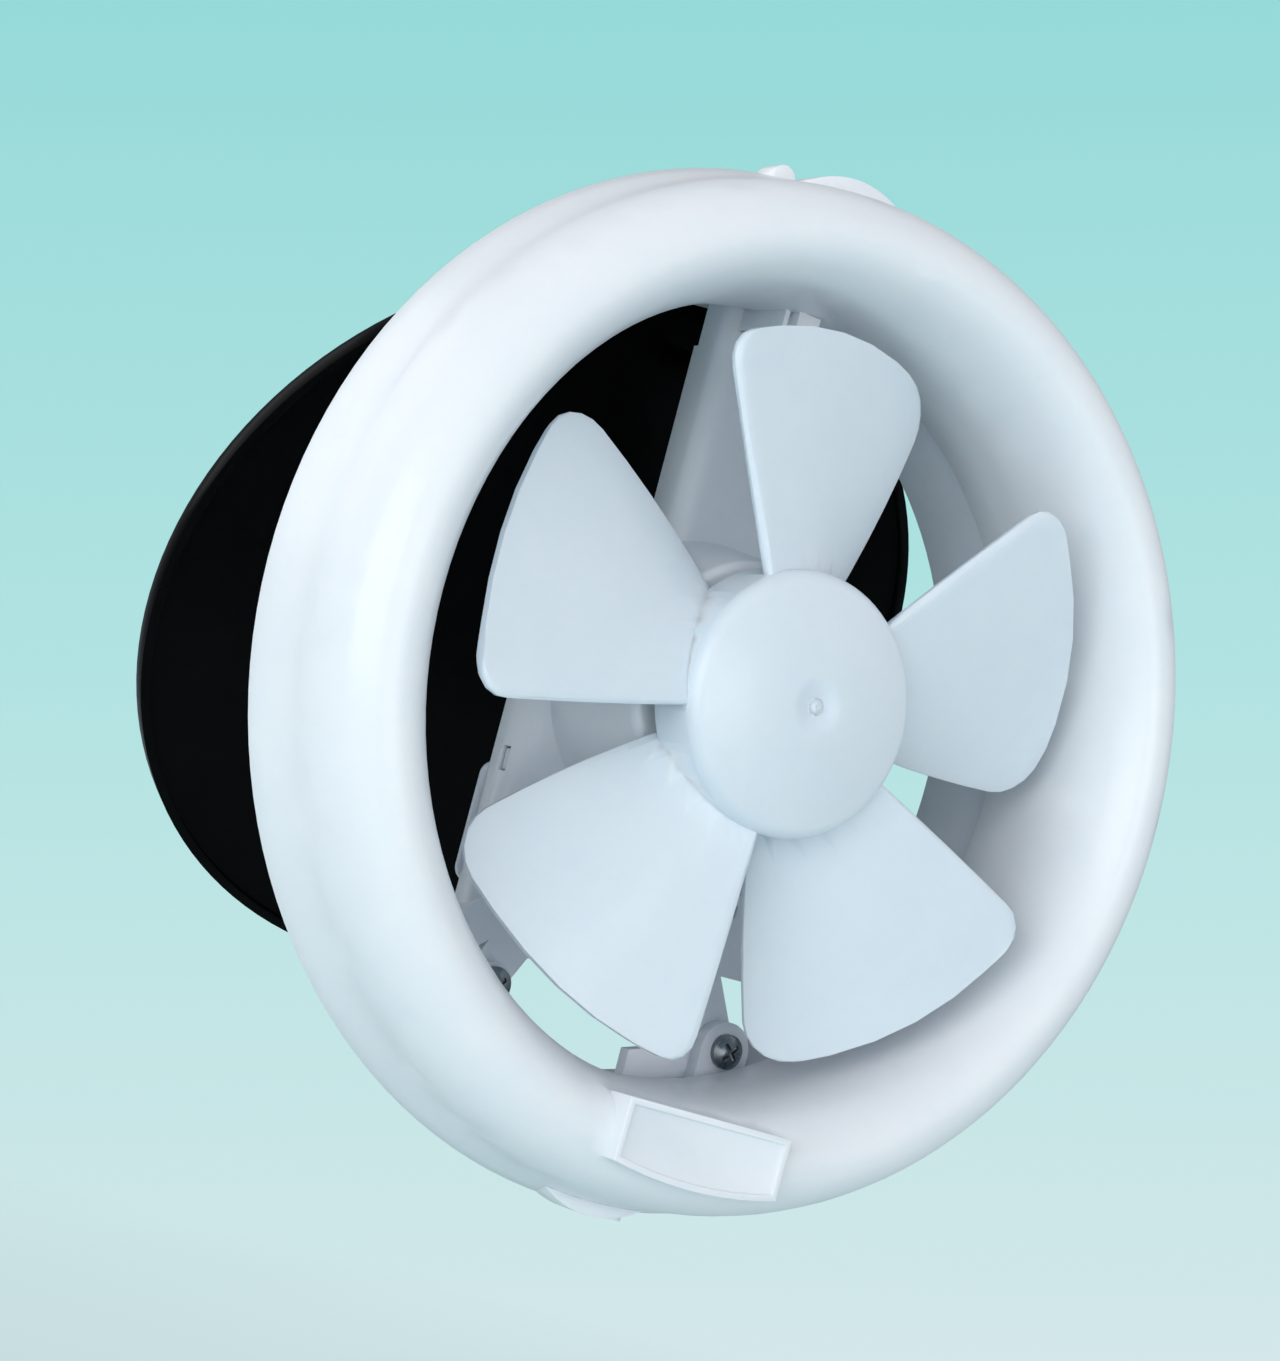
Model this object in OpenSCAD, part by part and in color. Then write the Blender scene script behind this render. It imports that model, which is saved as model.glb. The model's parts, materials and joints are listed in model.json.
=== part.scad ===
// Round window exhaust fan, 150 mm class, with a five-blade impeller and a rear shutter.
// The fan axis runs along Y through the origin. The room side faces -Y and +Z is up.
// The plane y = 0 is the face of the glass that the fan is clamped to.
// The shutter is drawn open, hinged at its top edge.

/* [Orifice ring] */
// Radius of the throat around the blades
throat_r = 77.6; // [72:0.1:86]
// Width of the bellmouth from the throat out to the crown
bell_w = 11.4; // [9:0.1:15]
// Width of the outer roll from the crown out to the skirt
roll_w = 12.2; // [10:0.1:18]
// Depth of the ring from the glass to its crown
ring_depth = 32.5; // [29:0.5:38]
// Wall of the ring moulding
ring_wall = 2.2; // [1.6:0.1:2.8]
// Depth of the straight skirt behind the outer roll
skirt_depth = 14; // [9:0.5:18]
// How much the skirt narrows towards the front
skirt_taper = 2.8; // [1:0.1:4.5]
// Where the bellmouth runs out into the straight throat, ahead of the glass
bell_end = 4; // [2:0.5:8]
// How far the throat reaches behind the glass plane
throat_back = 5; // [3:0.5:7]

/* [Nameplate tray] */
// Half width of the blank tray at the foot of the ring
tray_half_w = 19.5; // [15:0.5:26]
// How far the tray's top edge lies outside the throat
tray_in = 2.7; // [1.5:0.1:6]
// How far the tray's lower edge lies outside the crown
tray_out = 5.5; // [3:0.1:8]
// How far the tray stands ahead of the crown
tray_proud = 2.4; // [1.6:0.1:3.5]
// Width of the raised rim round the tray
tray_rim = 1.3; // [0.8:0.1:2.5]
// Depth of the bare face below the rim
tray_recess = 0.8; // [0.4:0.1:1.4]
// How far the tray's box runs back to the bellmouth
tray_box = 16; // [12:0.5:20]

/* [Mounting frame] */
// Wall of the spigot that passes through the glass
spigot_wall = 3.4; // [3:0.1:4.6]
// Step from the throat out to the air bore behind it
bore_step = 2; // [1.6:0.1:2.4]
// Length of the spigot behind the glass
spigot_len = 28; // [26:0.5:28]
// Thickness of the frame's flange
flange_t = 2.6; // [2:0.1:3.5]
// Thickness of the glass gasket
gasket_t = 2.2; // [1.5:0.1:3]
// Number of centring ribs round the spigot
rib_count = 12; // [6:1:18]
// Height of a centring rib
rib_h = 2.4; // [1:0.1:3]
// Thickness of a centring rib
rib_t = 2; // [1.2:0.1:3]
// Length of a centring rib behind the glass
rib_len = 15; // [8:0.5:22]

/* [Glass clamps] */
// Number of claws that clamp the glass
clamp_count = 3; // [3:1:6]
// Thickness of the glass
glass_t = 5; // [3:0.5:6]
// Distance of the clamp screws from the spigot's face
clamp_out = 4.6; // [4.4:0.1:5.2]
// Radius of a clamp screw's shank
clamp_screw_r = 1.7; // [1.4:0.1:2]
// How far a claw reaches outside its screw
claw_grip = 8.9; // [6:0.1:11]
// Width of a claw
claw_w = 13; // [10:0.5:16]
// Thickness of the claw's toe
claw_toe = 3; // [2:0.1:3.5]
// Length of the claw's body along its screw
claw_len = 8; // [6:0.5:10]

/* [Ring catches] */
// Length of a catch along the rim
catch_len = 24; // [16:0.5:28]
// How far the upper catch stands out of the ring
catch_proud = 2.3; // [1.5:0.1:3.5]
// How far the lower catch stands out of the ring
lower_proud = 1.2; // [0.8:0.1:2.5]
// Depth of a catch along the fan axis
catch_depth = 8; // [6:0.5:11]
// Radius of the arc that a catch's back follows
catch_arc_r = 22; // [16:0.5:40]
// Radius of the lower catch's knob
knob_r = 2.5; // [2:0.1:3.6]
// How far the knob stands out of the ring
knob_proud = 0.9; // [0.6:0.1:3]

/* [Impeller] */
// Number of blades
blade_count = 5; // [3:1:5]
// Gap between the blade tips and the throat
tip_gap = 5; // [3:0.1:9]
// Radius of the hub
hub_r = 26; // [23:0.5:28]
// Front of the hub ahead of the glass
hub_front = 34; // [32.5:0.5:38]
// Rear rim of the hub ahead of the glass
hub_back = 16.5; // [16:0.1:18]
// Roundness of the hub's shoulder
hub_round = 3.6; // [2.5:0.1:6]
// Radius of the hub's domed front
hub_dome_r = 75; // [60:1:120]
// Wall of the hub
hub_wall = 1.8; // [1.4:0.1:2.6]
// Thickness of a blade
blade_t = 1.7; // [1.2:0.1:2.4]
// Forward bow of a blade between its edges
blade_camber = 2.6; // [0:0.1:4]
// Radius of the corner at the leading edge's tip
lead_corner = 5.5; // [3:0.5:9]
// Radius of the corner at the trailing edge's tip
trail_corner = 9; // [4:0.5:12]

/* [Motor bracket] */
// Front plane of the bracket behind the glass
bracket_y = 13; // [12:0.5:13.5]
// Front plane of the upper arm behind the glass
arm_y = 9.2; // [8.5:0.1:10.5]
// Depth of the bracket's channel
channel_depth = 7; // [6.5:0.1:7.5]
// Wall of the bracket moulding
bracket_wall = 1.6; // [1.2:0.1:1.7]
// Half width of the upper arm
arm_half_w = 13.3; // [12.6:0.1:15]
// Half width of the lower box
box_half_w = 35; // [31:0.5:38]
// Bottom of the lower box below the fan axis
box_bottom = 53.5; // [50:0.5:56]
// Radius of the motor cup at the bracket's plane
cup_r = 31; // [30.5:0.1:33]
// Radius of the motor cup at its front
cup_front_r = 27.2; // [26.5:0.1:29]
// Front of the motor cup ahead of the glass
cup_front = 11.5; // [10.5:0.1:12.5]
// Sideways place of the left bracket screw
left_screw_x = 27.8; // [26:0.1:30]
// Distance of the left bracket screw from the air bore's wall
left_screw_in = 7.4; // [6:0.1:8]
// Sideways place of the right bracket screw
right_screw_x = 30.9; // [28:0.1:32]
// Distance of the right bracket screw from the air bore's wall
right_screw_in = 4.7; // [4.6:0.1:7]
// Radius of the screw heads
screw_head_r = 3.6; // [3:0.1:4.2]
// Height of the screw heads
screw_head_h = 2.4; // [1.6:0.1:3]
// Radius of the screw shanks
screw_r = 1.7; // [1.4:0.1:2]
// Thickness of the frame's tongues under the screw heads
tongue_t = 3.4; // [2.6:0.1:4.2]
// Radius of the right tongue's round end
tongue_r = 6; // [5:0.1:7]
// Radius of the left tongue's round end
left_tongue_r = 4.4; // [4:0.1:6]

/* [Motor] */
// Radius of the motor shaft
shaft_r = 3; // [2.5:0.1:3.2]
// Outer radius of the two bearings
bearing_r = 8.5; // [7.5:0.1:9]
// Width of the front bearing
bearing_w = 5; // [4:0.1:5.4]
// Outer radius of the stator core
stator_r = 26.4; // [25:0.1:26.8]
// Length of the stator core
stack_len = 12; // [10:0.5:12.5]
// Radius of the rotor
rotor_r = 12; // [10:0.1:12.5]
// Air gap between rotor and stator
air_gap = 0.5; // [0.3:0.05:0.8]

/* [Shutter] */
// How far the shutter laps over the spigot
shutter_over = 5.2; // [4.4:0.1:7]
// Thickness of the shutter plate
shutter_t = 2; // [1.6:0.1:2.6]
// Depth of the shutter's rim ahead of its plate
shutter_lip = 2.1; // [1.5:0.1:3]
// Thickness of the shutter's rim
shutter_rim_t = 2; // [1.4:0.1:2.6]
// Angle that the shutter stands open
open_angle = 29.6; // [5:0.1:32]
// Distance of the shutter's link eye from its hinge
link_eye_len = 20; // [19:0.1:20.5]
// Radius of the hinge pin
hinge_pin_r = 1.5; // [1.2:0.1:1.8]

/* [Hidden] */
$fn = 96;

// Clearances that the whole fan shares
over = 1;             // overrun of a cut
play = 0.05;          // running play on a radius
gap = 0.3;            // gap between faces that must not touch
press = 0.02;         // play where a fixed pin or screw sits in its hole
curve_n = 12;         // steps of a quarter curve

// Ring, derived
crown_r = throat_r + bell_w;
skirt_front_r = crown_r + roll_w;
ring_r = skirt_front_r + skirt_taper;
roll_b = ring_depth - skirt_depth;
bell_b = ring_depth - bell_end;
tray_top = throat_r + tray_in;
tray_r = crown_r + tray_out;
tray_turn = 1.5;                          // the tray sits a little turned and to the left
tray_shift = -0.7;

// Frame, derived
bore_r = throat_r + bore_step;
spigot_r = bore_r + spigot_wall;
seat_r = throat_r + ring_wall + gap;      // socket that the ring's throat enters
flange_y = -gasket_t - flange_t;
flange_r = ring_r - ring_wall - skirt_taper / 2;
gasket_r = flange_r - ring_wall;
clamp_pcd_r = spigot_r + clamp_out;
gasket_in_r = clamp_pcd_r + clamp_screw_r + gap;
left_screw_z = sqrt(pow(bore_r - left_screw_in, 2) - left_screw_x * left_screw_x);
right_screw_z = sqrt(pow(bore_r - right_screw_in, 2) - right_screw_x * right_screw_x);
screw_places = [[-left_screw_x, -left_screw_z], [right_screw_x, -right_screw_z]];
tongue_y = bracket_y - tongue_t;
recess_share = 0.62;                      // span of the cross recess in a screw's head
recess_w_share = 0.25;
recess_w = screw_head_r * recess_w_share;
keeper_r = 5.5;                           // round end of the top tongue
keeper_in = 9.6;
keeper_z = bore_r - keeper_in;            // centre of that round end
keeper_t = 1.5;
tongue_sink = 0.8;                        // how far a tongue is rooted in the spigot's wall

// Clamps and catches, derived
clamp_first = 60;
claw_in_r = spigot_r + gap + rib_h;
claw_reach = clamp_pcd_r + claw_grip;
clamp_head_r = 3;
clamp_head_h = 2.2;
catch_tab = 5;
upper_turn = -1.4;                        // both catches sit a little to the left
lower_turn = -2.2;
knob_x = 7.2;
index_r = 2.8;
index_proud = 1.5;
index_depth = 6;
index_angle = -11;

// Grommet in the ring's skirt
grommet_angle = 135;
grommet_bore_r = 2.2;
grommet_body_r = 3.5;
grommet_lip_r = 4.8;
grommet_lip_t = 1.2;
grommet_y = -9.4;
grommet_len = 4;
skirt_draft = atan(skirt_taper / skirt_depth);
grommet_seat_r = ring_r + skirt_taper * grommet_y / skirt_depth;

// Blade stations: shares of the chord and, at each, shares of the blade's thickness
chord_shares = [0, 0.012, 0.035, 0.075, 0.15, 0.32, 0.5, 0.68, 0.86, 0.965, 1];
thick_shares = [0.55, 1.35, 1.65, 1.45, 1.08, 1, 1, 1, 0.95, 0.8, 0.45];
span_steps = 5;
corner_steps = 5;
lead_root_angle = -33;
lead_tip_angle = -31.5;
trail_root_angle = 25;
trail_tip_angle = 19.5;
lead_root_y = -26;
lead_tip_y = -29;
trail_root_y = -15;
trail_tip_y = -12;
blade_tip_r = throat_r - tip_gap;
blade_root_sink = 1.2;
blade_root_r = hub_r - blade_root_sink;
blade_corner_r = blade_tip_r - max(lead_corner, trail_corner);
boss_root_share = 0.6;                    // of the hub's wall, where its boss starts
dimple_r = 6;
dimple_depth = 0.7;
gate_r = 1.4;
gate_h = 0.4;
hub_boss_r = 7;
hub_rib_t = 1.4;
hub_rib_count = 6;
hub_rib_depth = 7;
washer_r = 5;
washer_t = 0.8;
insert_r = 5;
insert_back = cup_front + washer_t + gap;
insert_len = 16;
insert_end = 1.5;                         // blind end of the insert ahead of the shaft
insert_step = 1;
hub_boss_back = insert_back + insert_step;
shaft_front = insert_back + insert_len - insert_end;

// Bracket, derived
bracket_back = bracket_y + channel_depth;
arm_round = 4.5;
arm_fit_r = bore_r - gap;                 // what fits inside the spigot's bore
arm_step_in = 10.6;
arm_step_z = bore_r - arm_step_in;        // above this the arm's walls are a little lower
arm_step = 1.4;
box_round = 3.5;
box_top = 4;                              // both below the fan axis
box_corner = 7;
cup_round = 2;
leg_half_w = 5.2;
leg_t = 3;
leg_top_x = 19.7;
leg_top_z = 50;
foot_r = 4.4;
lead_z = 49.3;                            // conduit for the leads, beside the left leg
lead_reach = 16;
lead_w = 9;
lead_low = 54.8;                          // where its lower edge meets the leg
vent_x = 12;
vent_w = 15.5;
vent_h = 2.5;
vent_pitch = 4.8;
vent_low = 41.3;
vent_count = 2;
snap_y = bracket_y + bracket_wall;
snap_w = 2.4;
snap_z = 25.7;
snap_h = 5;
snap_hook = 1.1;
web_x = 10;                               // web beside the right foot
web_in = 7;
web_z = bore_r - web_in;

// Rear cover, derived
cover_t = 1.6;
cover_depth = 4.6;
cover_back = bracket_back + cover_depth;
cover_inset = 3.2;
cover_rim = 1;
strip_top = 24;
strip_bottom = 48.5;
strip_r = 3;
strip_lap = 0.9;

// Motor, derived
stator_y = 2;
bearing_set = 0.6;                        // lip of the cup ahead of the front bearing
bearing_front_y = -cup_front + bracket_wall + bearing_set;
rear_bearing_w = 4.4;
rear_bearing_back = cover_back - cover_t;
bearing_boss_t = 1.8;
yoke_w = 7.5;
pole_w = 9;
pole_count = 4;
pole_shoe_t = 2.4;
pole_shoe_half = 33;
coil_t = 2.6;
coil_over = 3;
coil_gap = 0.25;
stator_screw_pcd = 23;
stator_screw_r = 1.3;
stator_screw_head_r = 2.4;
stator_screw_head_h = 1.5;
stator_screw_grip = 4.5;
cage_end = 1.6;
cage_inset = 1;
cage_r = rotor_r - cage_inset;
shaft_back = cover_back - cover_t - gap;

// Terminal block in the lower box
block_w = 22;
block_h = 10;
block_t = 6.4;
block_z = 29.5;
block_pole_x = 5.5;
block_screw_r = 1.6;
block_screw_h = 1;
block_slot_w = 5;
block_slot_h = 3;

// Shutter and its linkage. Points are [y, z] with the shutter shut.
plate_front = spigot_len + gap;
hinge_set = 1.5;                          // hinge axis behind the shut plate
hinge_inset = 1.5;                        // hinge axis inside the disc's top
hinge_y = plate_front + shutter_t + hinge_set;
shutter_r = spigot_r + shutter_over;
hinge_z = shutter_r - hinge_inset;
shutter_drop = hinge_z - shutter_r;
barrel_r = 3;
barrel_half = 10.6;
ear_in = barrel_half + gap;
ear_t = 3;
ear_root_y = 17;
notch_half = ear_in + ear_t + 2 * gap;
notch_z = hinge_z - barrel_r - gap;
lip_notch_share = 4;
lip_notch_half = notch_half + lip_notch_share * shutter_lip;
lip_notch_z = sqrt(pow(shutter_r - shutter_rim_t, 2) - pow(lip_notch_half, 2)) - over;
eye_r = 2.4;
link_eye_y = -hinge_set - shutter_t - eye_r - 2 * gap;    // of the link eye from the hinge, shut
link_eye_z = -sqrt(link_eye_len * link_eye_len - link_eye_y * link_eye_y);
lever_y = 23.2;
lever_in = 5.6;
lever_z = bore_r - lever_in;
lever_half = 2;
sleeve_r = 2.1;
link_in = lever_half + gap;
link_t = 2.2;
lug_in = link_in + link_t + gap;
lug_t = 2.2;
link_pin_r = 1.2;
lug_slack = 0.3;                          // the loop's open pivot
cheek_in = 7.1;
cheek_t = 1.4;
cheek_low = lever_z - eye_r;
crank_r = 6.8;                            // short arm that the plunger moves
crank_in = lever_half + gap;
crank_t = 1.7;
crank_pin_r = 0.9;
crank_pin_len = 1.9;
crank_tip_r = 1.4;
crank_out = crank_in + crank_t;

// Solenoid in the upper arm
plunger_r = 1.2;
plunger_x = -crank_out - gap - plunger_r;
plunger_y = lever_y - crank_r * (1 + cos(open_angle / 2)) / 2;
plunger_eye_half = 1.8;
coil_r = 4;
coil_lift = 6;
coil_len = 12;
coil_low = cup_r + coil_lift;
coil_high = coil_low + coil_len;
yoke_t = 1.2;
yoke_half_x = 4.2;
eye_slack = 0.25;

// Straight and round blanks
module y_cyl(r, y0, y1) translate([0, y0, 0]) rotate([-90, 0, 0]) cylinder(r = r, h = y1 - y0);
module y_slab(y0, y1) translate([0, y1, 0]) rotate([90, 0, 0]) linear_extrude(y1 - y0) children();
module x_slab(x0, x1) translate([x0, 0, 0]) rotate([90, 0, 90]) linear_extrude(x1 - x0) children();
module x_cyl(r, x0, x1) translate([x0, 0, 0]) rotate([0, 90, 0]) cylinder(r = r, h = x1 - x0);
module y_turn() rotate([-90, 0, 0]) rotate_extrude() children();
module at_angle(a) rotate([0, a, 0]) children();

// A place [x, z] on the fan's face
module at_face(x, z) translate([x, 0, z]) children();
module both_sides() {
    children();
    mirror([1, 0, 0]) children();
}

// Points of an ellipse's arc in [radius, y]
function oval(c, a, b, t0, t1) =
    [for (i = [0:curve_n]) let (t = t0 + (t1 - t0) * i / curve_n) [c[0] + a * cos(t), c[1] + b * sin(t)]];

// The face of the ring that shows, from the skirt round the crown into the throat
function ring_face(w) = concat(
    [[ring_r - w, 0]],
    oval([crown_r, -skirt_depth], roll_w - w, roll_b - w, 0, -90),
    oval([crown_r, -bell_end], bell_w - w, bell_b - w, -90, -180),
    [[throat_r + w, throat_back]]);
function backwards(p) = [for (i = [len(p) - 1:-1:0]) p[i]];

module ring_cavity() y_turn() polygon(concat(
    ring_face(ring_wall),
    [[throat_r + ring_wall, throat_back + over], [ring_r - ring_wall, throat_back + over]]));

module tray_outline(inset) translate([tray_shift, -tray_top]) rotate(-tray_turn) translate([0, tray_top])
    intersection() {
        translate([-tray_half_w + inset, -tray_r])
            square([2 * (tray_half_w - inset), tray_r - tray_top - inset]);
        circle(r = tray_r - inset);
    }

// A place on the skirt, square to its face
module on_skirt() at_angle(grommet_angle)
    translate([0, grommet_y, grommet_seat_r]) rotate([skirt_draft, 0, 0]) children();

// Places of the two catches on the rim
module at_upper_catch() at_angle(upper_turn) children();
module at_lower_catch() mirror([0, 0, 1]) at_angle(lower_turn) children();
module catch_notch() translate([-catch_tab - gap, flange_y - gap, skirt_front_r - ring_wall - over])
    cube([2 * (catch_tab + gap), -flange_y + gap + over, ring_wall + skirt_taper + 2 * over]);

module orifice_ring() color([0.93, 0.95, 0.97]) difference() {
    union() {
        y_turn() polygon(concat(ring_face(0), backwards(ring_face(ring_wall))));
        difference() {
            union() {
                y_slab(-ring_depth - tray_proud, -ring_depth + tray_box) tray_outline(0);
                // raised index bump on the skirt
                at_angle(index_angle) y_slab(-index_depth, 0)
                    translate([0, ring_r + index_proud - index_r]) circle(r = index_r);
            }
            ring_cavity();
            y_turn() polygon(concat(ring_face(ring_wall / 2),
                [[throat_r, -bell_end + over], [ring_r, over]]));
        }
    }
    y_slab(-ring_depth - tray_proud - over, -ring_depth - tray_proud + tray_recess) tray_outline(tray_rim);
    // notches that let the catches' tabs through the skirt
    at_upper_catch() catch_notch();
    at_lower_catch() catch_notch();
    on_skirt() translate([0, 0, -grommet_len]) cylinder(r = grommet_body_r + press, h = 2 * grommet_len);
}

// Cheeks at the frame's top that hold the hinge pin
module hinge_ear() difference() {
    x_slab(ear_in, ear_in + ear_t) difference() {
        union() {
            translate([hinge_y, hinge_z]) circle(r = barrel_r);
            polygon([[ear_root_y, spigot_r - over], [spigot_len, spigot_r - over],
                [spigot_len, notch_z + gap], [hinge_y + barrel_r, hinge_z], [hinge_y, hinge_z + barrel_r]]);
        }
        translate([hinge_y, hinge_z]) circle(r = hinge_pin_r + press);
    }
}

// A round-ended tongue that roots in the spigot's wall, in [x, z]
module tongue_outline(p, r) intersection() {
    union() {
        translate(p) circle(r = r);
        translate([p[0] - r, p[1] > 0 ? p[1] : -bore_r - over]) square([2 * r, bore_r + over - abs(p[1])]);
    }
    circle(r = bore_r + tongue_sink);
}

module mounting_frame() color([0.9, 0.93, 0.95]) difference() {
    union() {
        y_turn() polygon([[spigot_r, flange_y], [flange_r, flange_y], [flange_r, flange_y + flange_t],
            [spigot_r, flange_y + flange_t], [spigot_r, spigot_len], [bore_r, spigot_len],
            [bore_r, throat_back], [seat_r, throat_back], [seat_r, flange_y]]);
        for (i = [0:rib_count - 1]) at_angle((i + 0.5) * 360 / rib_count)
            translate([-rib_t / 2, 0, spigot_r - over / 2]) cube([rib_t, rib_len, rib_h + over / 2]);
        y_slab(tongue_y, bracket_y) {
            tongue_outline(screw_places[0], left_tongue_r);
            tongue_outline(screw_places[1], tongue_r);
        }
        // the upper arm slips over this tongue
        y_slab(arm_y + bracket_wall + gap, arm_y + bracket_wall + gap + keeper_t)
            tongue_outline([0, keeper_z], keeper_r);
        both_sides() hinge_ear();
    }
    for (p = screw_places) at_face(p[0], p[1]) y_cyl(screw_r + play, tongue_y - over, bracket_y + over);
    for (i = [0:clamp_count - 1]) at_angle(clamp_first + i * 360 / clamp_count)
        at_face(0, clamp_pcd_r) y_cyl(clamp_screw_r + play, flange_y - over, over);
}

module glass_gasket() color([0.25, 0.26, 0.27]) difference() {
    y_cyl(gasket_r, -gasket_t, 0);
    y_cyl(gasket_in_r, -gasket_t - over, over);
}

// What the ring's skirt encloses
module skirt_core() y_turn()
    polygon([[0, over], [ring_r, over], [ring_r, 0], [skirt_front_r, -skirt_depth], [0, -skirt_depth]]);

// One catch: a curved pad on the skirt, and a tab through it to the frame's flange
module catch_pad(proud) y_slab(-catch_depth, 0) intersection() {
    translate([0, ring_r + proud - catch_arc_r]) circle(r = catch_arc_r);
    translate([-catch_len / 2, ring_r - catch_arc_r]) square([catch_len, 2 * catch_arc_r]);
}
module catch_tab(proud) translate([-catch_tab, flange_y, flange_r])
    cube([2 * catch_tab, -flange_y, ring_r - flange_r + proud / 2]);

module ring_catches() color([0.93, 0.95, 0.97]) {
    difference() {
        union() {
            at_upper_catch() catch_pad(catch_proud);
            at_lower_catch() {
                catch_pad(lower_proud);
                translate([knob_x, -catch_depth / 2, ring_r - catch_arc_r / 2])
                    cylinder(r = knob_r, h = catch_arc_r / 2 + knob_proud);
            }
        }
        skirt_core();
    }
    at_upper_catch() catch_tab(catch_proud);
    at_lower_catch() catch_tab(lower_proud);
}

module glass_clamps() color([0.82, 0.85, 0.87])
    for (i = [0:clamp_count - 1]) at_angle(clamp_first + i * 360 / clamp_count) difference() {
        intersection() {
            translate([-claw_w / 2, 0, 0]) union() {
                translate([0, glass_t, 0]) cube([claw_w, claw_toe, claw_reach + over]);
                translate([0, glass_t, 0]) cube([claw_w, claw_len, clamp_pcd_r + clamp_head_r]);
            }
            difference() {
                y_cyl(claw_reach, glass_t, glass_t + claw_len);
                y_cyl(claw_in_r, glass_t - over, glass_t + claw_len + over);
            }
        }
        at_face(0, clamp_pcd_r) y_cyl(clamp_screw_r + press, glass_t - over, glass_t + claw_len + over);
    }

module clamp_screws() color([0.6, 0.62, 0.64])
    for (i = [0:clamp_count - 1]) at_angle(clamp_first + i * 360 / clamp_count) at_face(0, clamp_pcd_r) {
        y_cyl(clamp_screw_r, flange_y - clamp_head_h / 2, glass_t + claw_len + clamp_head_h);
        y_cyl(clamp_head_r, flange_y - clamp_head_h, flange_y);
    }

module cable_grommet() color([0.3, 0.31, 0.33]) on_skirt() difference() {
    union() {
        translate([0, 0, -grommet_len]) cylinder(r = grommet_body_r, h = grommet_len + grommet_lip_t / 2);
        cylinder(r = grommet_lip_r, h = grommet_lip_t);
    }
    translate([0, 0, -grommet_len - over]) cylinder(r = grommet_bore_r, h = 2 * grommet_len);
}

// Section of a channel across X and Y with its two front corners rounded
module channel(half_w, y0, y1, r) intersection() {
    translate([-half_w, y0]) square([2 * half_w, y1 - y0]);
    union() {
        translate([-half_w, y0 + r]) square([2 * half_w, y1 - y0]);
        translate([-half_w + r, y0]) square([2 * (half_w - r), y1 - y0]);
        for (s = [-1, 1]) translate([s * (half_w - r), y0 + r]) circle(r = r);
    }
}

// Outline of the lower box in [x, z], its upper corners rounded, drawn in by w
module box_outline(w) {
    translate([-box_half_w + w, -box_bottom + w])
        square([2 * (box_half_w - w), box_bottom - box_top - box_corner - w]);
    translate([-box_half_w + box_corner, -box_bottom + w])
        square([2 * (box_half_w - box_corner), box_bottom - box_top - 2 * w]);
    for (s = [-1, 1]) translate([s * (box_half_w - box_corner), -box_top - box_corner])
        circle(r = box_corner - w);
}

// The bracket's body as a solid, drawn in by w and reaching back to y1
module bracket_body(w, y1) {
    translate([0, 0, cup_front_r - over]) linear_extrude(bore_r - cup_front_r)
        channel(arm_half_w - w, arm_y + w, y1, arm_round - w);
    intersection() {
        translate([0, 0, -box_bottom]) linear_extrude(box_bottom)
            channel(box_half_w - w, bracket_y + w, y1, box_round - w);
        y_slab(bracket_y, y1) box_outline(w);
    }
    y_turn() polygon(concat([[0, y1], [cup_r - w, y1], [cup_r - w, bracket_y]],
        oval([cup_front_r - cup_round, -cup_front + cup_round], cup_round - w, cup_round - w, 0, -90),
        [[0, -cup_front + w]]));
}

// A leg from the lower box down to its screw
module leg_outline(p) hull() {
    translate([sign(p[0]) * leg_top_x, -leg_top_z]) circle(r = leg_half_w, $fn = 32);
    translate(p) circle(r = foot_r, $fn = 32);
}

module vents(y0, y1) both_sides() for (i = [0:vent_count - 1])
    translate([vent_x, y0, -vent_low + i * vent_pitch]) cube([vent_w, y1 - y0, vent_h]);

// Cheek that holds the lever's pin
module lever_cheek() x_slab(cheek_in, cheek_in + cheek_t) {
    translate([arm_y + bracket_wall / 2, cheek_low])
        square([lever_y - arm_y - bracket_wall / 2, bore_r - cheek_low]);
    translate([lever_y, lever_z]) circle(r = eye_r);
}

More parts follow.
